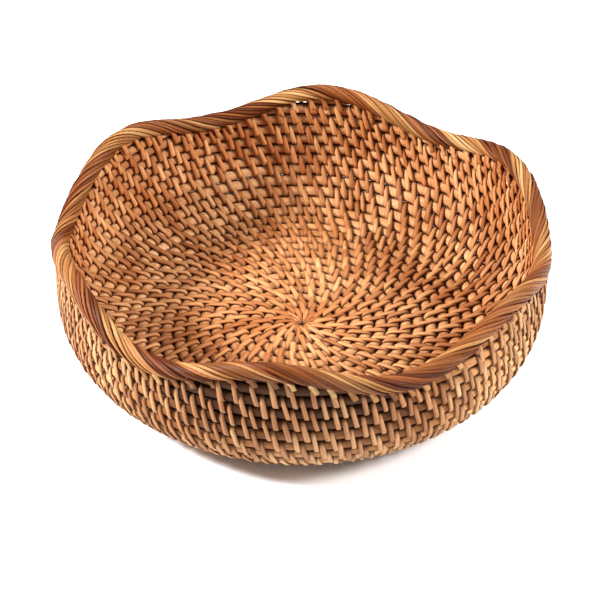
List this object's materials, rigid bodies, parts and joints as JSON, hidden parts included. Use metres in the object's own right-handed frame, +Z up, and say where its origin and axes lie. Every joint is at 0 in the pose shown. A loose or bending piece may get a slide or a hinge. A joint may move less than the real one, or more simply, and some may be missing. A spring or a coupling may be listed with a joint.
{
  "type": "bread basket",
  "caption": "Round coiled rattan basket with a flat base, rounded sides and a wavy rim wrapped in light and dark bundles of split cane.",
  "frame": {"origin": "middle of the basket's footprint, on the surface it stands on", "axes": "+Z up, along the basket's axis; -Y is the front; angles run counter-clockwise from above"},
  "size_m": [0.2198, 0.2198, 0.0676],
  "materials": {
    "base_cane": "satin rattan, warm orange tan",
    "side_cane": "satin rattan, reddish tan",
    "rim_cane": "satin rattan, hidden under the wrapping",
    "straw_strips": "split cane with a slight gloss, straw yellow",
    "red_brown_strips": "split cane with a slight gloss, reddish brown"
  },
  "bodies": {
    "root": {"base_coil_inner": "base_cane", "base_coil_middle": "base_cane", "base_coil_outer": "base_cane", "corner_coil_lower": "side_cane", "corner_coil_middle": "side_cane", "corner_coil_upper": "side_cane", "rim_cane": "rim_cane", "rim_wrap_dark_01": "red_brown_strips", "rim_wrap_dark_02": "red_brown_strips", "rim_wrap_dark_03": "red_brown_strips", "rim_wrap_dark_04": "red_brown_strips", "rim_wrap_dark_05": "red_brown_strips", "rim_wrap_dark_06": "red_brown_strips", "rim_wrap_dark_07": "red_brown_strips", "rim_wrap_dark_08": "red_brown_strips", "rim_wrap_dark_09": "red_brown_strips", "rim_wrap_dark_10": "red_brown_strips", "rim_wrap_dark_11": "red_brown_strips", "rim_wrap_dark_12": "red_brown_strips", "rim_wrap_dark_13": "red_brown_strips", "rim_wrap_dark_14": "red_brown_strips", "rim_wrap_light_01": "straw_strips", "rim_wrap_light_02": "straw_strips", "rim_wrap_light_03": "straw_strips", "rim_wrap_light_04": "straw_strips", "rim_wrap_light_05": "straw_strips", "rim_wrap_light_06": "straw_strips", "rim_wrap_light_07": "straw_strips", "rim_wrap_light_08": "straw_strips", "rim_wrap_light_09": "straw_strips", "rim_wrap_light_10": "straw_strips", "rim_wrap_light_11": "straw_strips", "rim_wrap_light_12": "straw_strips", "rim_wrap_light_13": "straw_strips", "rim_wrap_light_14": "straw_strips", "side_coil_lower": "side_cane", "side_coil_upper": "side_cane", "wave_1_short_row_1": "side_cane", "wave_1_short_row_2": "side_cane", "wave_2_short_row_1": "side_cane", "wave_2_short_row_2": "side_cane", "wave_3_short_row_1": "side_cane", "wave_3_short_row_2": "side_cane", "wave_4_short_row_1": "side_cane", "wave_4_short_row_2": "side_cane", "wave_5_short_row_1": "side_cane", "wave_5_short_row_2": "side_cane", "wave_6_short_row_1": "side_cane"}
  },
  "joints": []
}
